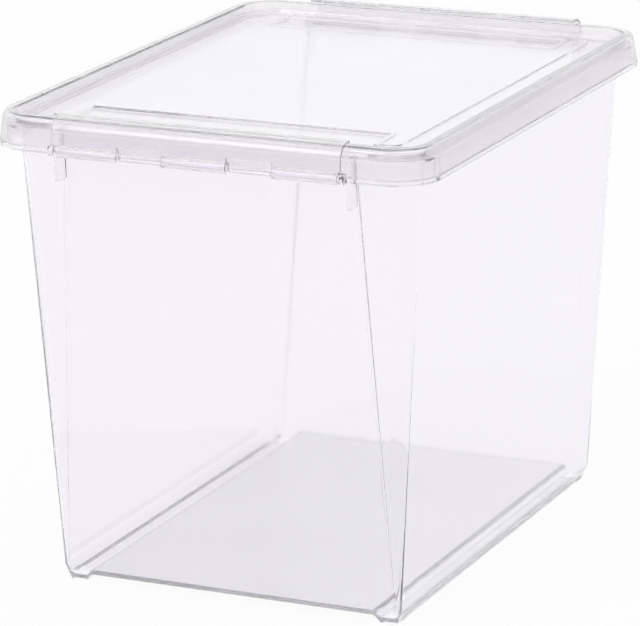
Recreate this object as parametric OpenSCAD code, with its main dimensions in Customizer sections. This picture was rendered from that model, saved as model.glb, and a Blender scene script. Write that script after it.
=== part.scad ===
// Clear file box for A4 papers: a tapered tub, a lid that lifts off, and a long clip handle
// on each short side. Millimetres, +Z up, origin on the ground under the middle of the tub.
// X runs along the short sides, Y along the long ones. Section outlines are drawn with their
// own x pointing away from the box and their own y pointing up.

/* [Tub] */
// Outer width of the tub's mouth, along X
mouth_w = 281; // [240:1:360]
// Outer depth of the tub's mouth, along Y
mouth_d = 372.4; // [300:0.2:480]
// Height from the ground to the underside of the rim
body_h = 300.6; // [150:0.2:400]
// How far each wall leans in between mouth and ground
wall_lean = 19; // [6:0.5:28]
// Thickness of the walls
wall_t = 2; // [1.6:0.1:3]
// Thickness of the floor
floor_t = 3.2; // [1.6:0.1:4.5]
// Size of the sloped edge where the walls meet the floor inside
floor_edge = 1.5; // [1:0.1:3]
// Outer corner radius at the mouth
mouth_r = 18.5; // [10:0.5:26]
// Outer corner radius at the ground
base_r = 2.5; // [2.5:0.1:4]
// Distance from a corner to the fold in the end wall, at the mouth
mouth_fold = 38.7; // [32:0.1:60]
// Distance from a corner to the fold in the end wall, at the ground
base_fold = 3.2; // [3.2:0.1:8]
// How deep the end panels are sunk between their folds, at the mouth
panel_sink = 1.2; // [0.4:0.1:1.6]
// How far the base of the walls is tucked in at the ground
tuck = 3; // [0.5:0.1:3.5]
// Height over which the base of the walls is tucked in
tuck_h = 11; // [8:0.5:14]
// Height of the arch between two corner feet on a short side, which the floor follows
end_arch = 5.4; // [3:0.1:7]
// Height of the arch between two corner feet on a long side
side_arch = 0.8; // [0.8:0.1:2]
// Length of a corner foot, along X and along Y
foot_l = 11.4; // [6:0.1:20]

/* [Rim] */
// How far the rim stands out past the wall
rim_reach = 13.8; // [12:0.1:20]
// Outer corner radius of the rim
rim_r = 30.5; // [24:0.5:40]
// Height of the rim
rim_h = 14.5; // [12:0.5:24]
// Height of the lip along the rim's lower edge
lip_h = 2.9; // [2:0.1:5]
// How far the rim's inner edge stands in from the end panels
mouth_edge = 0.3; // [0.2:0.1:2]
// How far the rim's outer leg is set back from the lip
leg_set = 5; // [4.8:0.1:6]

/* [Lid] */
// Clearance between the lid and the rim, above the rim and above the lip
lid_gap = 0.3; // [0.2:0.05:1]
// Thickness of the lid
lid_t = 2; // [1.5:0.1:2.4]
// How far the skirt leans in between its lower edge and the ridge
skirt_lean = 2.6; // [1:0.1:3]
// Radius of the ridge's outer edge
ridge_r = 4; // [2.5:0.1:5]
// Width of the flat top of the ridge
ridge_w = 4.8; // [3:0.1:5.5]
// Height of the ridge above the ledge inside it
ridge_h = 5.6; // [4:0.1:9]
// How far the inner side of the ridge slopes
ridge_slope = 0.8; // [0.2:0.1:2]
// Width of the raised panel, along X
panel_w = 246; // [200:1:300]
// Depth of the raised panel, along Y
panel_d = 332; // [260:1:400]
// Height of the raised panel above the ledge
panel_rise = 0.9; // [0.5:0.1:2]
// Corner radius of the raised panel
panel_r = 7; // [3:0.5:15]
// Width of the recess in each end of the panel, along X
recess_w = 212; // [150:1:225]
// Depth of the recess in each end of the panel, along Y
recess_d = 30.1; // [15:0.1:50]
// How far the floor of each recess lies below the ledge
recess_drop = 1; // [0.5:0.1:1.4]

/* [Clips] */
// Length of a clip
clip_l = 202; // [175:1:215]
// Thickness of a clip's plate and hook
clip_t = 2; // [1.5:0.1:2.1]
// Radius of the bend between plate and hook
clip_bend = 11.3; // [9:0.1:12]
// How far the plate's outer face stands out from the hinge axis
plate_out = 2; // [1.8:0.1:2.4]
// How far the hook reaches in over the ridge
hook_over = 3; // [2:0.1:4]
// Clearance between the hook and the ridge
hook_gap = 0.8; // [0.3:0.05:1.5]
// Length of the middle knuckle
knuckle_l = 45; // [30:0.5:60]
// Length of each notch beside the middle knuckle
notch_l = 31.7; // [20:0.1:42]
// Height of the notches above the hinge axis
notch_h = 6.5; // [5:0.1:9]
// How far the outer knuckles end short of the clip's ends
end_step = 1.7; // [1:0.1:4]
// Outer radius of the knuckles
knuckle_r = 4; // [3.6:0.1:5]
// Radius of the hinge rod
rod_r = 1.8; // [1.4:0.1:2]
// Radial clearance between rod and knuckle
rod_gap = 0.08; // [0.02:0.01:0.1]
// Width of the slot through which a knuckle snaps on to its rod
snap_w = 2.8; // [2:0.1:3.2]
// Clearance between the knuckles and the lip
knuckle_gap = 0.3; // [0.2:0.05:1]
// Height of the hinge axis above the underside of the lip
axis_h = 3.4; // [2.5:0.1:5]
// Clearance beside each knuckle
side_gap = 0.4; // [0.2:0.1:1.5]
// Thickness of the gusset ribs at the ends of a clip
gusset_t = 2; // [1:0.1:3]
// How far the gusset ribs reach down below the lip
gusset_h = 18.6; // [6:0.1:40]
// How far the gusset ribs stay behind the lip's edge
gusset_set = 2.5; // [1:0.1:6]

/* [Hidden] */
$fn = 96;
// Segments in a quarter bend of the tapered walls
bend_n = 8;
// How far joined pieces run into each other
overlap = 0.5;
// What is left of the panels' sink at the ground
sink_rest = 0.1;
// Smallest corner radius inside the tub
least_r = 1;
// Width of the run-out between a foot and the top of an arch
foot_run = 4.5;

rim_w = mouth_w + 2 * rim_reach;
rim_d = mouth_d + 2 * rim_reach;
rim_top = body_h + rim_h;
// Inner height of the two gutters along the long walls, beside the raised middle of the floor
gutter_top = side_arch + floor_t;
// Half the width of an arch at the ground, in from half the mouth
arch_in = wall_lean + tuck + foot_l;
// Where the rim's outer leg ends, measured in from the lip's edge
leg_in = leg_set + wall_t;
// Where the rim's inner edge stands, measured in from the mouth's outline
edge_in = wall_t + panel_sink + mouth_edge;

lid_base = body_h + lip_h + lid_gap;
ledge_top = rim_top + lid_gap + lid_t;
ridge_top = ledge_top + ridge_h;
// Where the ridge's flat top begins and the ledge begins, measured in from the skirt's edge
ridge_out = skirt_lean + ridge_r;
ledge_out = ridge_out + ridge_w + ridge_slope;

// The back clip's hinge axis, and the clip's places measured from it
axis_y = rim_d / 2 + knuckle_gap + knuckle_r;
axis_z = body_h + axis_h;
hook_top = ridge_top + hook_gap + clip_t - axis_z;
hook_tip = rim_d / 2 - ridge_out - hook_over - axis_y;
lug_x = clip_l / 2 + side_gap;
lug_r = knuckle_r - side_gap;

colour = [0.92, 0.91, 0.94, 0.45];

function mix(low, high, f) = low + (high - low) * f;

function arc(centre, r, from, to, n = bend_n) =
    [for (i = [0:n]) centre + r * [cos(mix(from, to, i / n)), sin(mix(from, to, i / n))]];

// A quarter of the tub's outline, from the middle of the long wall round to the end panel
function quarter(w, d, r, fold, sink) = concat(
    arc([w / 2 - r, d / 2 - r], r, 0, 90),
    [[w / 2 - fold, d / 2], [w / 2 - fold, d / 2 - sink]]);

function turned(points) = [for (p = points) [-p.x, -p.y]];

function mirrored(points) = [for (i = [len(points) - 1:-1:0]) [-points[i].x, points[i].y]];

function outline(w, d, r, fold, sink) =
    let (one = quarter(w, d, r, fold, sink), half = concat(one, mirrored(one)))
    concat(half, turned(half));

// How far the walls are tucked in at height z
function tucked(z) = tuck * max(1 - z / tuck_h, 0);

// The tub's outline at height z, drawn in by inset
function tub_outline(z, inset) =
    let (f = z / body_h,
         r = max(mix(base_r, mouth_r, f) - inset, least_r),
         fold = max(mix(base_fold, mouth_fold, f) - 2 * inset, r + overlap))
    outline(mouth_w - 2 * wall_lean * (1 - f) - 2 * inset,
            mouth_d - 2 * wall_lean * (1 - f) - 2 * inset,
            r, fold, mix(sink_rest, panel_sink, f));

// A solid skin through outlines of equal length, given as [height, points] from low to high
module loft(rings) {
    n = len(rings[0][1]);
    top = len(rings) - 1;
    polyhedron(
        points = [for (ring = rings) for (p = ring[1]) [p.x, p.y, ring[0]]],
        faces = concat(
            [[for (i = [0:n - 1]) i]],
            [[for (i = [n - 1:-1:0]) top * n + i]],
            [for (k = [0:top - 1]) for (i = [0:n - 1])
                [k * n + i, (k + 1) * n + i, (k + 1) * n + (i + 1) % n, k * n + (i + 1) % n]]));
}

module rounded(w, d, r) {
    square([w - 2 * r, d], center = true);
    square([w, d - 2 * r], center = true);
    for (x = [-1, 1], y = [-1, 1]) translate([x * (w / 2 - r), y * (d / 2 - r)]) circle(r);
}

// The rim's outline, drawn in by inset
module rim_outline(inset) {
    rounded(rim_w - 2 * inset, rim_d - 2 * inset, rim_r - inset);
}

// Carries a section along the rim's outline: the section's x is minus the distance inwards
module around_rim() {
    for (side = [0, 180]) rotate(side) {
        translate([rim_w / 2, rim_d / 2 - rim_r, 0]) rotate([90, 0, 0])
            linear_extrude(rim_d - 2 * rim_r) children();
        translate([rim_r - rim_w / 2, rim_d / 2, 0]) rotate([90, 0, 90])
            linear_extrude(rim_w - 2 * rim_r) children();
        for (y = [-1, 1]) translate([rim_w / 2 - rim_r, y * (rim_d / 2 - rim_r), 0])
            rotate(y > 0 ? 0 : -90) rotate_extrude(angle = 90) translate([rim_r, 0]) children();
    }
}

// Carries a section that faces away from the back of the box along X, centred
module along_x(length) {
    translate([-length / 2, 0, 0]) rotate([90, 0, 90]) linear_extrude(length) children();
}

// ---- Tub ----

module tub_walls() {
    difference() {
        loft([[-overlap, tub_outline(-overlap, tucked(-overlap))],
              [tuck_h, tub_outline(tuck_h, 0)],
              [body_h, tub_outline(body_h, 0)],
              [rim_top - wall_t / 2, tub_outline(body_h, 0)]]);
        hollow();
        under_floor();
    }
}

// The space inside the walls, down to the gutters and the raised middle of the floor
module hollow() {
    low = gutter_top - overlap;
    edge_top = gutter_top + floor_edge;
    difference() {
        loft([[low, tub_outline(low, wall_t + tucked(low) + floor_edge + overlap)],
              [edge_top, tub_outline(edge_top, wall_t + tucked(edge_top))],
              [tuck_h, tub_outline(tuck_h, wall_t)],
              [body_h, tub_outline(body_h, wall_t)],
              [rim_top, tub_outline(body_h, wall_t)]]);
        translate([0, 0, low]) cube([mouth_w, mouth_d, 2 * overlap], center = true);
        translate([0, 0, floor_t]) end_arches();
    }
}

// All below the ground, and the arches through the base, which leave a foot at each corner
module under_floor() {
    translate([0, 0, -overlap]) cube([mouth_w, mouth_d, 2 * overlap], center = true);
    end_arches();
    rotate([90, 0, 90]) linear_extrude(mouth_w, center = true)
        arch(mouth_d / 2 - arch_in, side_arch);
}

// The long hollow under the middle of the floor, from one short side to the other
module end_arches() {
    rotate([90, 0, 0]) linear_extrude(mouth_d, center = true)
        arch(mouth_w / 2 - arch_in, end_arch);
}

module arch(half, h) {
    low = half + foot_run * overlap / 2 / h;
    high = half - foot_run;
    polygon([[-low, -overlap / 2], [low, -overlap / 2], [high, h], [-high, h]]);
}

// The rim is a channel, open below, that hangs over the outside of the wall
module rim() {
    translate([0, 0, body_h]) linear_extrude(lip_h) difference() {
        rim_outline(0);
        rim_outline(leg_in);
    }
    translate([0, 0, body_h]) linear_extrude(rim_h) difference() {
        rim_outline(leg_set);
        rim_outline(leg_in);
    }
    translate([0, 0, rim_top - wall_t]) linear_extrude(wall_t) difference() {
        rim_outline(leg_set);
        rounded(mouth_w - 2 * edge_in, mouth_d - 2 * edge_in, mouth_r - edge_in);
    }
}

// The back clip's rod, the webs that hold it in the clip's notches, and the lugs and gussets
// at its ends
module clip_seat() {
    translate([0, axis_y, axis_z]) rotate([0, 90, 0])
        cylinder(r = rod_r, h = 2 * lug_x, center = true);
    web_l = notch_l - 2 * side_gap;
    lug_l = gusset_t + end_step - overlap;
    for (x = [-1, 1]) {
        translate([x * (knuckle_l + notch_l) / 2, 0, 0]) along_x(web_l) web_section();
        translate([x * (lug_x + gusset_t / 2), 0, 0]) along_x(gusset_t) gusset_section();
        translate([x * (lug_x - end_step + lug_l / 2), 0, 0]) along_x(lug_l) {
            web_section();
            translate([axis_y, axis_z]) circle(lug_r);
        }
    }
}

module web_section() {
    translate([rim_d / 2 - overlap, body_h + overlap / 2])
        square([axis_y - rim_d / 2 + overlap, lip_h - overlap]);
}

// A gusset fills the rim's channel and reaches down the wall
module gusset_section() {
    low = body_h - gusset_h;
    inside = mouth_d / 2 - wall_t / 2 - panel_sink;
    lip_out = rim_d / 2 - gusset_set;
    leg_mid = rim_d / 2 - leg_set - wall_t / 2;
    polygon([[inside - wall_lean * gusset_h / body_h, low], [lip_out, low],
             [lip_out, body_h + lip_h / 2], [leg_mid, body_h + lip_h / 2],
             [leg_mid, rim_top - wall_t / 2], [inside, rim_top - wall_t / 2],
             [inside, body_h]]);
}

module tub() {
    color(colour) {
        tub_walls();
        rim();
        clip_seat();
        mirror([0, 1, 0]) clip_seat();
    }
}

// ---- Lid ----

// The skirt and the hollow ridge above it, down to the start of the ledge
module lid_section() {
    top = ridge_top - ridge_r;
    bend = [-ridge_out, top];
    polygon(concat(
        [[0, lid_base]],
        arc(bend, ridge_r, 0, 90),
        [[-ridge_out - ridge_w, ridge_top], [-ledge_out, ledge_top],
         [-ledge_out - lid_t, ledge_top], [-ledge_out - lid_t, ledge_top - lid_t],
         [lid_t - ledge_out, ledge_top - lid_t],
         [lid_t - ridge_out - ridge_w, ridge_top - lid_t]],
        arc(bend, ridge_r - lid_t, 90, 0),
        [[-lid_t, lid_base]]));
}

module lid_panel(inset) {
    difference() {
        rounded(panel_w - 2 * inset, panel_d - 2 * inset, panel_r - inset);
        for (y = [-1, 1]) translate([0, y * panel_d / 2])
            square([recess_w + 2 * inset, 2 * (recess_d + inset)], center = true);
    }
}

// The two recesses, grown by spread
module recesses(spread) {
    for (y = [-1, 1]) translate([0, y * (panel_d - recess_d) / 2])
        square([recess_w + 2 * spread, recess_d + 2 * spread], center = true);
}

module lid() {
    color(colour) {
        around_rim() lid_section();
        difference() {
            union() {
                translate([0, 0, ledge_top - lid_t]) linear_extrude(lid_t)
                    rim_outline(ledge_out + overlap);
                translate([0, 0, ledge_top - lid_t / 2]) linear_extrude(lid_t / 2 + panel_rise)
                    lid_panel(0);
                translate([0, 0, ledge_top - lid_t - recess_drop])
                    linear_extrude(lid_t) recesses(lid_t - overlap);
            }
            translate([0, 0, ledge_top - 2 * lid_t]) linear_extrude(lid_t + panel_rise)
                lid_panel(lid_t);
            translate([0, 0, ledge_top - recess_drop]) linear_extrude(2 * lid_t) recesses(0);
        }
    }
}

// ---- Clips ----

// Plate and hook, measured from the hinge axis
module clip_section() {
    bend = [plate_out - clip_bend, hook_top - clip_bend];
    polygon(concat(
        [[plate_out, 0]],
        arc(bend, clip_bend, 0, 90),
        [[hook_tip, hook_top], [hook_tip, hook_top - clip_t]],
        arc(bend, clip_bend - clip_t, 90, 0),
        [[plate_out - clip_t, 0]]));
}

module clip() {
    bore_r = rod_r + rod_gap;
    color(colour) translate([0, axis_y, axis_z]) difference() {
        union() {
            along_x(clip_l - 2 * end_step) circle(knuckle_r);
            difference() {
                along_x(clip_l) clip_section();
                for (x = [-1, 1]) translate([x * clip_l / 2, 0, 0])
                    cube(2 * [end_step, knuckle_r, knuckle_r + side_gap], center = true);
            }
        }
        along_x(clip_l + 2 * overlap) circle(bore_r);
        along_x(clip_l + 2 * overlap) translate([-snap_w / 2, -2 * knuckle_r])
            square([snap_w, 2 * knuckle_r]);
        for (x = [-1, 1]) translate([x * (knuckle_l + notch_l) / 2, 0, 0])
            along_x(notch_l) translate([-2 * knuckle_r, notch_h - 3 * knuckle_r])
                square([4 * knuckle_r, 3 * knuckle_r]);
    }
}

module front_clip() {
    mirror([0, 1, 0]) clip();
}

module back_clip() {
    clip();
}

tub();
lid();
front_clip();
back_clip();
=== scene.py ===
"""Clear file box for A4 papers: a tapered tub, a lift-off lid and two hinged clip handles."""

import math

import bmesh
import bpy
from mathutils import Matrix, Vector


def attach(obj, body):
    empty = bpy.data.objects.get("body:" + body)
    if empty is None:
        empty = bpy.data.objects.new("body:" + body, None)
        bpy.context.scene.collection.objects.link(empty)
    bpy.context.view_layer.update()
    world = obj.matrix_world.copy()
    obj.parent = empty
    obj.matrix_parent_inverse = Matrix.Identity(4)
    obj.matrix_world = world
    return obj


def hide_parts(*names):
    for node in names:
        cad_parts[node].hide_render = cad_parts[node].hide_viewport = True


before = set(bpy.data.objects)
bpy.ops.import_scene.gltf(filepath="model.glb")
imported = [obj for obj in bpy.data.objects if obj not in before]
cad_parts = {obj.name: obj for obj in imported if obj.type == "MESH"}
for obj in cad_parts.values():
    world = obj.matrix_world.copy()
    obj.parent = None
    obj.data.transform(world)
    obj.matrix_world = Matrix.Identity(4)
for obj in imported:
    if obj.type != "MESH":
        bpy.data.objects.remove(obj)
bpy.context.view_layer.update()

# ---- Tub ----
# The tub is one deep injection moulding in clear plastic: a floor on four corner feet, four
# leaning walls with cone-shaped corners, and a turned-over rim with a flat lip for the lid.
# The short walls are sunk a little between two folds that fan out from the feet.
MM = 0.001
MOUTH_W, MOUTH_D, BODY_H = 281 * MM, 372.4 * MM, 300.6 * MM
WALL_LEAN, WALL_T = 19 * MM, 2 * MM
MOUTH_R, BASE_R, LEAST_R = 18.5 * MM, 2.5 * MM, 1 * MM
MOUTH_FOLD, BASE_FOLD, LEAST_FOLD = 38.7 * MM, 3.2 * MM, 0.5 * MM
PANEL_SINK, BASE_SINK, FOLD_SLOPE = 1.2 * MM, 0.1 * MM, 1.3
TUCK, TUCK_H = 3 * MM, 11 * MM
END_ARCH, SIDE_ARCH, FOOT_L, FOOT_RUN = 5.4 * MM, 0.8 * MM, 11.4 * MM, 4.5 * MM
FLOOR_T, FLOOR_EDGE = 3.2 * MM, 1.5 * MM
RIM_W, RIM_D, RIM_R, RIM_TOP = 308.6 * MM, 400 * MM, 30.5 * MM, 315.1 * MM
LIP_H, LEG_SET, LEG_IN = 2.9 * MM, 5 * MM, 7 * MM
CORNER_STEPS = 14
TINY = 0.001 * MM


def box_points(w, d):
    """The four corners of a level rectangle."""
    return [(w / 2, d / 2), (-w / 2, d / 2), (-w / 2, -d / 2), (w / 2, -d / 2)]


def folded_points(w, d, fold, sink):
    """The same rectangle, with the short sides sunk between two soft folds."""
    run = sink * FOLD_SLOPE
    half = [(w / 2, d / 2), (w / 2 - fold, d / 2), (w / 2 - fold - run, d / 2 - sink),
            (fold + run - w / 2, d / 2 - sink), (fold - w / 2, d / 2), (-w / 2, d / 2)]
    return half + [(-x, -y) for x, y in half]


def ring(bm, points, rounded, r, z):
    """A level outline whose corners numbered in rounded get radius r. Returns its face."""
    known = set(bm.faces)
    verts = [bm.verts.new((x, y, z)) for x, y in points]
    bm.faces.new(verts)
    if r:
        bmesh.ops.bevel(bm, geom=[verts[i] for i in rounded], offset=r, affect="VERTICES",
                        segments=CORNER_STEPS, profile=0.5, material=-1)
    return next(f for f in bm.faces if f not in known)


def skin(bm, rings):
    """A closed skin through rings, each bridged to the next; the first and last are its ends.
    The rings are drawn apart while they are bridged, because level ones would be twisted."""
    loops = [list(face.edges) for face in rings]
    levels = [list(face.verts) for face in rings]
    bmesh.ops.delete(bm, geom=rings[1:-1], context="FACES_ONLY")
    for i, verts in enumerate(levels):
        bmesh.ops.translate(bm, vec=(0, 0, i), verts=verts)
    for low, high in zip(loops, loops[1:]):
        bmesh.ops.bridge_loops(bm, edges=low + high)
    for i, verts in enumerate(levels):
        bmesh.ops.translate(bm, vec=(0, 0, -i), verts=verts)
    close(bm)


def close(bm):
    """Merges what meets and turns every face outwards."""
    bmesh.ops.remove_doubles(bm, verts=bm.verts, dist=TINY)
    bmesh.ops.recalc_face_normals(bm, faces=bm.faces)


def stand(name, bm):
    """Puts a finished mesh into the scene as an object of its own."""
    mesh = bpy.data.meshes.new(name)
    bm.to_mesh(mesh)
    bm.free()
    obj = bpy.data.objects.new(name, mesh)
    bpy.context.scene.collection.objects.link(obj)
    return obj


def carve(obj, bm, operation):
    """Joins a mesh to an object, or cuts it away, and keeps the result."""
    tool = stand("tool", bm)
    cut = obj.modifiers.new("carve", "BOOLEAN")
    cut.object, cut.operation, cut.solver = tool, operation, "EXACT"
    shown = obj.evaluated_get(bpy.context.evaluated_depsgraph_get())
    mesh = bpy.data.meshes.new_from_object(shown)
    obj.modifiers.clear()
    old, obj.data = obj.data, mesh
    name = old.name
    bpy.data.meshes.remove(old)
    mesh.name = name
    bpy.data.meshes.remove(tool.data)


def thicken(bm, face, shift):
    """Draws a face out by shift into a closed solid."""
    made = bmesh.ops.extrude_face_region(bm, geom=[face], use_keep_orig=True)
    moved = [v for v in made["geom"] if isinstance(v, bmesh.types.BMVert)]
    bmesh.ops.translate(bm, vec=shift, verts=moved)
    close(bm)
    return bm


def bar(points, r, rounded, start, stop):
    """A bar along X: an outline in Y and Z, some of its corners rounded, from start to stop."""
    bm = bmesh.new()
    face = ring(bm, points, rounded, r, 0)
    turn = Matrix(((0, 0, 1), (1, 0, 0), (0, 1, 0))).to_4x4()
    bmesh.ops.transform(bm, matrix=Matrix.Translation((start, 0, 0)) @ turn, verts=bm.verts)
    return thicken(bm, face, (stop - start, 0, 0))


EDGE_ANGLE = math.radians(32)


def soften(obj, width, steps):
    """Moulded edges: a small round on each edge, and shading that keeps the flats flat."""
    edge = obj.modifiers.new("moulded edge", "BEVEL")
    edge.width, edge.segments, edge.limit_method = width, steps, "ANGLE"
    edge.angle_limit = EDGE_ANGLE
    edge.use_clamp_overlap = True
    flat = obj.modifiers.new("flat shading", "WEIGHTED_NORMAL")
    flat.keep_sharp = False
    obj.data.shade_smooth()


def wall_ring(bm, z, inset):
    """The wall's outline at height z, drawn in by inset and, at its base, tucked in."""
    share = min(z / BODY_H, 1)
    inset += TUCK * max(1 - z / TUCK_H, 0)
    lean = WALL_LEAN * (1 - share)
    r = max(BASE_R + (MOUTH_R - BASE_R) * share - inset, LEAST_R)
    fold = max(BASE_FOLD + (MOUTH_FOLD - BASE_FOLD) * share - 2 * inset, r + LEAST_FOLD)
    sink = BASE_SINK + (PANEL_SINK - BASE_SINK) * share
    points = folded_points(MOUTH_W - 2 * lean - 2 * inset, MOUTH_D - 2 * lean - 2 * inset,
                           fold, sink)
    return ring(bm, points, CORNERS, r, z)


def rim_ring(bm, z, inset):
    """The rim's outline at height z, drawn in by inset."""
    points = folded_points(RIM_W - 2 * inset, RIM_D - 2 * inset,
                           MOUTH_FOLD + (RIM_W - MOUTH_W) / 2 - inset, 0)
    return ring(bm, points, CORNERS, RIM_R - inset, z)


CORNERS = (0, 5, 6, 11)
GUTTER_TOP = SIDE_ARCH + FLOOR_T
bm = bmesh.new()
skin(bm, [
    wall_ring(bm, 0, 0),
    wall_ring(bm, TUCK_H, 0),
    wall_ring(bm, BODY_H, 0),
    wall_ring(bm, RIM_TOP - WALL_T, 0),
    rim_ring(bm, RIM_TOP - WALL_T, LEG_IN),
    rim_ring(bm, BODY_H, LEG_IN),
    rim_ring(bm, BODY_H, 0),
    rim_ring(bm, BODY_H + LIP_H, 0),
    rim_ring(bm, BODY_H + LIP_H, LEG_SET),
    rim_ring(bm, RIM_TOP, LEG_SET),
    wall_ring(bm, RIM_TOP, WALL_T),
    wall_ring(bm, BODY_H, WALL_T),
    wall_ring(bm, TUCK_H, WALL_T),
    wall_ring(bm, GUTTER_TOP + FLOOR_EDGE, WALL_T),
    wall_ring(bm, GUTTER_TOP, WALL_T + FLOOR_EDGE),
])
tub = stand("tub_shell", bm)


def arch(half, low, top, reach):
    """A long arch shape along X, its sides sloped as the insides of the feet are."""
    lean = FOOT_RUN / top
    points = [(low * lean - half, low), (half - low * lean, low), (half - FOOT_RUN, top),
              (FOOT_RUN - half, top)]
    return bar(points, ARCH_R, (2, 3), -reach, reach)


def end_arch(low, reach):
    """The arch that runs along Y, from one short wall to the other."""
    bm = arch(MOUTH_W / 2 - FOOT_IN, low, END_ARCH, reach)
    bmesh.ops.rotate(bm, cent=(0, 0, 0), matrix=Matrix.Rotation(math.pi / 2, 3, "Z"),
                     verts=bm.verts)
    return bm


FOOT_IN = WALL_LEAN + TUCK + FOOT_L
ARCH_R = 1.2 * MM
INNER_END = 165.15 * MM    # inside the thickness of the short walls at the floor
raised = end_arch(0, INNER_END)
bmesh.ops.translate(raised, vec=(0, 0, FLOOR_T), verts=raised.verts)
carve(tub, raised, "UNION")
carve(tub, arch(MOUTH_D / 2 - FOOT_IN, -SIDE_ARCH, SIDE_ARCH, MOUTH_W / 2), "DIFFERENCE")
carve(tub, end_arch(-END_ARCH, MOUTH_D / 2), "DIFFERENCE")

# ---- Hinge rods ----
# Each clip snaps on to a rod that is moulded with the tub's lip. Two webs hold the rod in the
# clip's notches, and a lug on a gusset rib holds it at each end.
KNUCKLE_R, ROD_R = 4 * MM, 1.8 * MM
AXIS_Y, AXIS_Z = RIM_D / 2 + 4.3 * MM, BODY_H + 3.4 * MM
CLIP_L, KNUCKLE_L, NOTCH_L, SIDE_GAP = 202 * MM, 45 * MM, 31.7 * MM, 0.4 * MM
GUSSET_T, GUSSET_H, GUSSET_SET = 2 * MM, 18.6 * MM, 2.5 * MM
LUG_X, LUG_R, END_STEP = CLIP_L / 2 + SIDE_GAP, 3.6 * MM, 1.7 * MM
BITE = 0.5 * MM
DISC_STEPS, ROD_STEPS = 32, 20


def disc_bar(r, y, z, start, stop, steps):
    """A round bar along X."""
    bm = bmesh.new()
    bmesh.ops.create_cone(bm, cap_ends=True, segments=steps, radius1=r, radius2=r,
                          depth=stop - start)
    place = Matrix.Translation(((start + stop) / 2, y, z)) @ Matrix.Rotation(math.pi / 2, 4, "Y")
    bmesh.ops.transform(bm, matrix=place, verts=bm.verts)
    return bm


def on_side(bm, side):
    """Takes a mesh made for the back of the box to the side wanted, 1 back and -1 front."""
    if side < 0:
        bmesh.ops.scale(bm, vec=(1, -1, 1), verts=bm.verts)
        bmesh.ops.recalc_face_normals(bm, faces=bm.faces)
    return bm


WEB = [(RIM_D / 2 - BITE, BODY_H + BITE / 2), (AXIS_Y, BODY_H + BITE / 2),
       (AXIS_Y, BODY_H + LIP_H - BITE / 2), (RIM_D / 2 - BITE, BODY_H + LIP_H - BITE / 2)]
gusset_low = BODY_H - GUSSET_H
wall_in = MOUTH_D / 2 - WALL_T / 2 - PANEL_SINK
GUSSET = [(wall_in - WALL_LEAN * GUSSET_H / BODY_H, gusset_low),
          (RIM_D / 2 - GUSSET_SET, gusset_low),
          (RIM_D / 2 - GUSSET_SET, BODY_H + LIP_H / 2),
          (RIM_D / 2 - LEG_SET - WALL_T / 2, BODY_H + LIP_H / 2),
          (RIM_D / 2 - LEG_SET - WALL_T / 2, RIM_TOP - WALL_T / 2),
          (wall_in, RIM_TOP - WALL_T / 2), (wall_in, BODY_H)]
for side in (1, -1):
    for x in (1, -1):
        ends = sorted((x * LUG_X, x * (LUG_X + GUSSET_T)))
        carve(tub, on_side(bar(GUSSET, 0, (), *ends), side), "UNION")
        ends = sorted((x * (LUG_X - END_STEP), x * (LUG_X + GUSSET_T - BITE)))
        carve(tub, on_side(bar(WEB, 0, (), *ends), side), "UNION")
        carve(tub, on_side(disc_bar(LUG_R, AXIS_Y, AXIS_Z, *ends, DISC_STEPS), side), "UNION")
        middle = x * (KNUCKLE_L + NOTCH_L) / 2
        half = NOTCH_L / 2 - SIDE_GAP
        carve(tub, on_side(bar(WEB, 0, (), middle - half, middle + half), side), "UNION")
    rod = disc_bar(ROD_R, AXIS_Y, AXIS_Z, -LUG_X, LUG_X, ROD_STEPS)
    carve(tub, on_side(rod, side), "UNION")
soften(tub, 0.35 * MM, 2)


class Value:
    """A number socket. Plain sums on it add Math nodes."""

    def __init__(self, finish, socket):
        self.finish, self.socket = finish, socket

    def maths(self, operation, *values):
        return self.finish.node("ShaderNodeMath", {"operation": operation},
                                dict(enumerate(values)))["Value"]

    def __add__(self, other):
        return self.maths("ADD", self, other)

    def __sub__(self, other):
        return self.maths("SUBTRACT", self, other)

    def __rsub__(self, other):
        return self.maths("SUBTRACT", other, self)

    def __mul__(self, other):
        return self.maths("MULTIPLY", self, other)

    def __pow__(self, other):
        return self.maths("POWER", self, other)

    def beyond(self, start, width):
        """0 up to start, and 1 from a width past it."""
        return self.maths("DIVIDE", self - start, width).clipped()

    def clipped(self):
        return self.maths("MINIMUM", self.maths("MAXIMUM", self, 0.0), 1.0)

    def size(self):
        return self.maths("ABSOLUTE", self)

    __radd__, __rmul__ = __add__, __mul__


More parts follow.
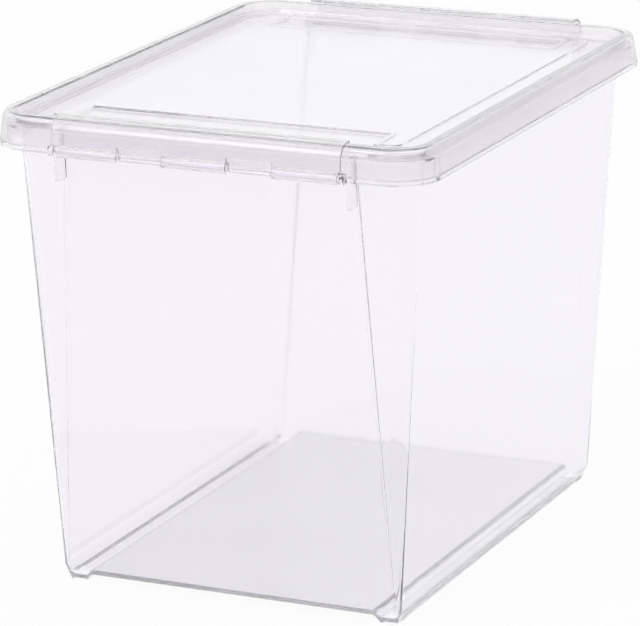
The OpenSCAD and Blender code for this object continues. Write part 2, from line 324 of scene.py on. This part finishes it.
class Finish:
    """A material and its nodes."""

    def __init__(self, name, tree=None):
        if tree is None:
            self.material = bpy.data.materials.new(name)
            self.material.use_nodes = True
            tree = self.material.node_tree
        self.tree = tree
        tree.nodes.clear()

    def node(self, kind, settings=None, inputs=None):
        """Adds a node, sets it, then fills its inputs. Returns its outputs by name."""
        made = self.tree.nodes.new(kind)
        for key, value in (settings or {}).items():
            setattr(made, key, value)
        for key, value in (inputs or {}).items():
            if isinstance(value, Value):
                self.tree.links.new(value.socket, made.inputs[key])
            else:
                made.inputs[key].default_value = value
        return {out.name: Value(self, out) for out in made.outputs if out.enabled}

    def blend(self, factor, low, high):
        """A colour between two others, which are the Mix node's inputs 6 and 7."""
        return self.node("ShaderNodeMix", {"data_type": "RGBA"},
                         {"Factor": factor, 6: low, 7: high})["Result"]

    def noise(self, where, scale, detail=2.0, rough=0.5):
        """A soft cloudy number about 0.5."""
        return self.node("ShaderNodeTexNoise", {"noise_dimensions": "3D"},
                         {"Vector": where, "Scale": scale, "Detail": detail,
                          "Roughness": rough})["Fac"]

    def stretched(self, where, x, y, z):
        """The place vector, stretched along each axis."""
        return self.node("ShaderNodeMapping", {"vector_type": "POINT"},
                         {"Vector": where, "Scale": (x, y, z)})["Vector"]

    def surface(self, shader):
        self.node("ShaderNodeOutputMaterial", None, {"Surface": shader})
        return self.material


PLASTIC_IOR, CLOUD_HAZE = 1.49, 0.05
WAVE_DEPTH, RUB_DEPTH = 2 * MM, 0.2 * MM


def clear_plastic(name, pale, deep, clear, gloss, flow, scuffs, hazy=None, painted_shade=None):
    """Clear moulded plastic: faintly clouded, with weak flow waves and fine rubbing marks.
    hazy gives the share of haze at a place, and the last argument gives the share of painted
    shade, a deeper tint."""
    finish = Finish(name)
    where = finish.node("ShaderNodeTexCoord")["Object"]
    place = finish.node("ShaderNodeSeparateXYZ", None, {"Vector": where})
    cloud = finish.noise(where, 7.0, 3.0)
    waves = finish.noise(finish.stretched(where, 9.0, 9.0, 2.2), 1.0, 2.0)
    rubs = finish.noise(finish.stretched(where, 260.0, 34.0, 90.0), 1.0, 4.0, 0.65)
    marks = rubs ** 6.0
    wavy = finish.node("ShaderNodeBump", None,
                       {"Strength": flow, "Distance": WAVE_DEPTH, "Height": waves})["Normal"]
    normal = finish.node("ShaderNodeBump", None,
                         {"Strength": scuffs, "Distance": RUB_DEPTH, "Height": marks,
                          "Normal": wavy})["Normal"]
    colour, rough = finish.blend(cloud, pale, deep), cloud * CLOUD_HAZE + gloss
    if hazy:
        rough = rough + hazy(place)
    # Painted shade: where the mask is set, the colour is drawn towards a deeper tint that stands
    # for the shadow under the box, seen through the floor.
    if painted_shade:
        colour = finish.blend(painted_shade(place), colour, FLOOR_SHADE_TINT)
    plastic = finish.node("ShaderNodeBsdfPrincipled", None, {
        "Base Color": colour, "Roughness": rough,
        "IOR": PLASTIC_IOR, "Transmission Weight": clear, "Normal": normal})["BSDF"]
    return finish.surface(plastic)


# The deeper tint painted on the middle of the floor as shade.
FLOOR_SHADE_TINT = (0.915, 0.9, 0.945, 1)
FLOOR_HAZE, RIM_HAZE = 0.12, 0.06
FLOOR_TOP, FLOOR_HALF_W = 9 * MM, 102 * MM


def low_or_high(place):
    """The floor is finely grained, and the rim is a little hazy."""
    floor = 1 - place["Z"].beyond(FLOOR_TOP + 1 * MM, 4 * MM)
    return floor * FLOOR_HAZE + place["Z"].beyond(BODY_H - 2 * MM, 3 * MM) * RIM_HAZE


def painted_floor_shade(place):
    """Painted shade: the middle of the floor, below its top and inside the runners, darkened to
    stand for the shadow on the ground under the box.
    """
    return ((1 - place["Z"].beyond(FLOOR_TOP, 1 * MM))
            * (1 - place["X"].size().beyond(FLOOR_HALF_W, 4 * MM)))


tub.data.materials.clear()
# The middle of the tub's floor gets painted shade.
tub.data.materials.append(clear_plastic(
    "clear body plastic", pale=(0.99, 0.978, 1, 1), deep=(0.975, 0.963, 0.993, 1), clear=0.975,
    gloss=0.02, flow=0.05, scuffs=0.1, hazy=low_or_high, painted_shade=painted_floor_shade))
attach(tub, "tub")
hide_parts("tub")

# ---- Lid ----
# The lid is one clear moulding that rests on the tub's rim: a leaning skirt, a raised ridge
# round the edge, a ledge inside it, and a low panel that is recessed at both ends so that
# a like box stacks on it.
LID_BASE, LID_T = 303.8 * MM, 2 * MM
LEDGE_TOP, RIDGE_TOP = 317.4 * MM, 323 * MM
SKIRT_LEAN, RIDGE_R, RIDGE_W, RIDGE_SLOPE = 2.6 * MM, 4 * MM, 4.8 * MM, 0.8 * MM
PANEL_W, PANEL_D, PANEL_RISE, PANEL_R = 246 * MM, 332 * MM, 0.9 * MM, 7 * MM
RECESS_W, RECESS_D, RECESS_DROP, PIT_R = 212 * MM, 30.1 * MM, 1 * MM, 0.8 * MM
RIDGE_STEPS = 6
RIDGE_OUT = SKIRT_LEAN + RIDGE_R
LEDGE_OUT = RIDGE_OUT + RIDGE_W + RIDGE_SLOPE


def lid_ring(bm, inset, z):
    """The lid's outline at height z, drawn in by inset."""
    points = box_points(RIM_W - 2 * inset, RIM_D - 2 * inset)
    return ring(bm, points, range(4), RIM_R - inset, z)


def bend(bm, r, order):
    """The rings of the ridge's outer bend, of radius r."""
    turns = [math.pi / 2 * i / RIDGE_STEPS for i in order]
    return [lid_ring(bm, RIDGE_OUT - r * math.cos(a), RIDGE_TOP - RIDGE_R + r * math.sin(a))
            for a in turns]


def slab(points, rounded, r, low, high):
    """A flat block: a level outline, some of its corners rounded, from low to high."""
    bm = bmesh.new()
    return thicken(bm, ring(bm, points, rounded, r, low), (0, 0, high - low))


def panel_block(inset, low, high):
    """The panel as a solid, with the recess at each end."""
    w, d = PANEL_W / 2 - inset, PANEL_D / 2 - inset
    rw, rd = RECESS_W / 2 + inset, PANEL_D / 2 - RECESS_D - inset
    half = [(w, d), (rw, d), (rw, rd), (-rw, rd), (-rw, d), (-w, d)]
    points = half + [(-x, -y) for x, y in half]
    return slab(points, CORNERS, PANEL_R - inset, low, high)


def recess_block(side, spread, low, high):
    """The recess at one end of the panel as a solid, grown by spread."""
    points = [(x, y + side * (PANEL_D - RECESS_D) / 2)
              for x, y in box_points(RECESS_W + 2 * spread, RECESS_D + 2 * spread)]
    return slab(points, range(4), PIT_R, low, high)


bm = bmesh.new()
skin(bm, [
    lid_ring(bm, LEDGE_OUT, LEDGE_TOP),
    lid_ring(bm, RIDGE_OUT + RIDGE_W, RIDGE_TOP),
    *bend(bm, RIDGE_R, range(RIDGE_STEPS, -1, -1)),
    lid_ring(bm, 0, LID_BASE),
    lid_ring(bm, LID_T, LID_BASE),
    *bend(bm, RIDGE_R - LID_T, range(RIDGE_STEPS + 1)),
    lid_ring(bm, RIDGE_OUT + RIDGE_W - LID_T, RIDGE_TOP - LID_T),
    lid_ring(bm, LEDGE_OUT - LID_T, LEDGE_TOP - LID_T),
])
lid = stand("lid_shell", bm)
carve(lid, panel_block(0, LEDGE_TOP - LID_T / 2, LEDGE_TOP + PANEL_RISE), "UNION")
carve(lid, panel_block(LID_T, LEDGE_TOP - 2 * LID_T, LEDGE_TOP + PANEL_RISE - LID_T),
      "DIFFERENCE")
for side in (1, -1):
    pit = LEDGE_TOP - RECESS_DROP
    carve(lid, recess_block(side, LID_T - BITE, pit - LID_T, pit), "UNION")
    carve(lid, recess_block(side, 0, pit, LEDGE_TOP + LID_T), "DIFFERENCE")
soften(lid, 0.4 * MM, 3)


EDGE_HAZE, EDGE_FADE = 0.09, 3 * MM


def lid_edge(place):
    """The ridge and skirt are hazier than the flat of the lid."""
    side = place["X"].size().beyond(RIM_W / 2 - LEDGE_OUT - EDGE_FADE, EDGE_FADE)
    end = place["Y"].size().beyond(RIM_D / 2 - LEDGE_OUT - EDGE_FADE, EDGE_FADE)
    return side.maths("MAXIMUM", side, end) * EDGE_HAZE


lid.data.materials.clear()
lid.data.materials.append(clear_plastic(
    "clear lid plastic", pale=(1, 0.99, 1, 1), deep=(0.992, 0.978, 1, 1), clear=0.97,
    gloss=0.04, flow=0.04, scuffs=0.15, hazy=lid_edge))
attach(lid, "lid")
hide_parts("lid")

# ---- Clips ----
# Each clip is a stiff milky-clear moulding: a tall plate with a rounded shoulder that hooks
# over the lid's ridge, and three knuckles that snap on to the tub's rod.
CLIP_T, CLIP_BEND, PLATE_OUT = 2 * MM, 11.3 * MM, 2 * MM
HOOK_OVER, HOOK_GAP, NOTCH_H = 3 * MM, 0.8 * MM, 6.5 * MM
ROD_GAP, SNAP_W = 0.08 * MM, 2.8 * MM
KNUCKLE_STEPS, SHOULDER_STEPS = 16, 16
LUG_TOP, CUT_REACH = KNUCKLE_R + SIDE_GAP, 2 * KNUCKLE_R
HOOK_TOP = RIDGE_TOP + HOOK_GAP + CLIP_T - AXIS_Z
HOOK_TIP = RIM_D / 2 - RIDGE_OUT - HOOK_OVER - AXIS_Y


def arc(y, z, r, start, stop, steps):
    """Points on a round bend, from one angle to another in degrees."""
    turns = [math.radians(start + (stop - start) * i / steps) for i in range(steps + 1)]
    return [(y + r * math.cos(a), z + r * math.sin(a)) for a in turns]


def clip_section():
    """The clip's outline: round the knuckle from its snap slot, up the plate, over the hook,
    down the inside, and back round the bore."""
    bore = ROD_R + ROD_GAP
    outer_slot = math.degrees(math.acos(SNAP_W / 2 / KNUCKLE_R))
    bore_slot = math.degrees(math.acos(SNAP_W / 2 / bore))
    outer_turn = math.degrees(math.acos(PLATE_OUT / KNUCKLE_R))
    inner_turn = math.degrees(math.acos((PLATE_OUT - CLIP_T) / KNUCKLE_R))
    cy, cz = PLATE_OUT - CLIP_BEND, HOOK_TOP - CLIP_BEND
    return [
        *arc(0, 0, KNUCKLE_R, -outer_slot, outer_turn, KNUCKLE_STEPS),
        *arc(cy, cz, CLIP_BEND, 0, 90, SHOULDER_STEPS),
        (HOOK_TIP, HOOK_TOP), (HOOK_TIP, HOOK_TOP - CLIP_T),
        *arc(cy, cz, CLIP_BEND - CLIP_T, 90, 0, SHOULDER_STEPS),
        *arc(0, 0, KNUCKLE_R, inner_turn, 180 + outer_slot, KNUCKLE_STEPS),
        *arc(0, 0, bore, 180 + bore_slot, -bore_slot, KNUCKLE_STEPS),
    ]


def clip(side):
    """The clip on one side of the box, 1 back and -1 front."""
    points = [(AXIS_Y + y, AXIS_Z + z) for y, z in clip_section()]
    obj = stand("back_clip_body" if side > 0 else "front_clip_body",
                on_side(bar(points, 0, (), -CLIP_L / 2, CLIP_L / 2), side))
    for x in (1, -1):
        middle = x * (KNUCKLE_L + NOTCH_L) / 2
        notch = [(-CUT_REACH, -CUT_REACH), (CUT_REACH, -CUT_REACH),
                 (CUT_REACH, NOTCH_H), (-CUT_REACH, NOTCH_H)]
        notch = [(AXIS_Y + y, AXIS_Z + z) for y, z in notch]
        carve(obj, on_side(bar(notch, 0, (), middle - NOTCH_L / 2, middle + NOTCH_L / 2), side),
              "DIFFERENCE")
        step = [(AXIS_Y + y, AXIS_Z + z) for y, z in box_points(2.5 * KNUCKLE_R, 2 * LUG_TOP)]
        ends = sorted((x * (CLIP_L / 2 - END_STEP), x * (CLIP_L / 2 + END_STEP)))
        carve(obj, on_side(bar(step, 0, (), *ends), side), "DIFFERENCE")
    soften(obj, 0.5 * MM, 3)
    return obj


clip_plastic = clear_plastic(
    "clear clip plastic", pale=(1, 0.99, 1, 1), deep=(0.99, 0.98, 1, 1), clear=0.98,
    gloss=0.14, flow=0.03, scuffs=0.2)
for side, node in ((1, "back_clip"), (-1, "front_clip")):
    obj = clip(side)
    obj.data.materials.clear()
    obj.data.materials.append(clip_plastic)
    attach(obj, node)
    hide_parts(node)

# ---- Studio ----
# A white floor that still takes the box's shadow, a white surround, two soft lamps, and the
# camera where the photograph was taken from.
FLOOR_HALF = 7.0
PALE_PAPER, GREY_PAPER = (0.9, 0.9, 0.9, 1), (0.86, 0.86, 0.86, 1)
WHITE_SHARE = 0.94
ROOM_LEVEL = 0.75


def seen_directly(finish):
    """1 for what the eye, a reflection or clear plastic sees, and 0 for light on a surface."""
    path = finish.node("ShaderNodeLightPath")
    seen = path["Is Camera Ray"].maths("MAXIMUM", path["Is Camera Ray"], path["Is Glossy Ray"])
    return seen.maths("MAXIMUM", seen, path["Is Transmission Ray"])


bm = bmesh.new()
bmesh.ops.create_grid(bm, x_segments=1, y_segments=1, size=FLOOR_HALF)
floor = stand("floor", bm)
paper = Finish("white floor")
grain = paper.noise(paper.node("ShaderNodeTexCoord")["Object"], 3.0, 4.0)
matt = paper.node("ShaderNodeBsdfDiffuse", None,
                  {"Color": paper.blend(grain, PALE_PAPER, GREY_PAPER)})
glow = paper.node("ShaderNodeEmission", None, {"Color": (1, 1, 1, 1), "Strength": 1.0})
floor.data.materials.append(paper.surface(paper.node(
    "ShaderNodeMixShader", None,
    {0: seen_directly(paper) * WHITE_SHARE, 1: matt["BSDF"], 2: glow["Emission"]})["Shader"]))
# Haze must reach the white surround by its own rays, which count as seen directly.
floor.data.materials[0].cycles.emission_sampling = "NONE"

world = bpy.data.worlds.new("studio")
world.use_nodes = True
bpy.context.scene.world = world
room = Finish("studio", world.node_tree)
room.node("ShaderNodeOutputWorld", None, {"Surface": room.node(
    "ShaderNodeBackground", None,
    {"Color": (1, 1, 1, 1),
     "Strength": seen_directly(room) * (1 - ROOM_LEVEL) + ROOM_LEVEL})["Background"]})
world.cycles.sampling_method = "NONE"


BOX_MIDDLE = Vector((0, 0, 0.15))


def lamp(name, place, size, power):
    """A square soft lamp that faces the middle of the box."""
    light = bpy.data.lights.new(name, "AREA")
    light.size, light.energy = size, power
    obj = bpy.data.objects.new(name, light)
    obj.location = place
    obj.rotation_euler = (BOX_MIDDLE - Vector(place)).to_track_quat("-Z", "Y").to_euler()
    bpy.context.scene.collection.objects.link(obj)


lamp("key lamp", (-1.6, -2.2, 2.4), 1.6, 26)
lamp("top lamp", (0.4, 0.6, 2.6), 1.8, 9)

AZIMUTH, ROLL = math.radians(24.67), math.radians(-0.76)
EYE, BOX_TO_EYE = Vector((1.15469, -2.51397, 0.94341)), Vector((0.40133, -0.87376, 0.27473))
camera = bpy.data.objects.new("camera", bpy.data.cameras.new("camera"))
bpy.context.scene.collection.objects.link(camera)
camera.data.sensor_width, camera.data.lens = 36.0, 238.1
camera.data.shift_x = -0.0193
camera.data.clip_start, camera.data.clip_end = 0.1, 40
back = BOX_TO_EYE.normalized()
right = Vector((math.cos(AZIMUTH), math.sin(AZIMUTH), 0))
up = back.cross(right)
turned_right = right * math.cos(ROLL) + up * math.sin(ROLL)
turned_up = up * math.cos(ROLL) - right * math.sin(ROLL)
camera.matrix_world = Matrix((
    (turned_right.x, turned_up.x, back.x, EYE.x),
    (turned_right.y, turned_up.y, back.y, EYE.y),
    (turned_right.z, turned_up.z, back.z, EYE.z),
    (0, 0, 0, 1)))

scene = bpy.context.scene
scene.camera = camera
scene.view_settings.view_transform = "Standard"
# Light that is guided along a clear wall turns many times before it leaves.
scene.cycles.max_bounces = 120
scene.cycles.transmission_bounces = 60
scene.cycles.glossy_bounces = 96
scene.cycles.diffuse_bounces = 12
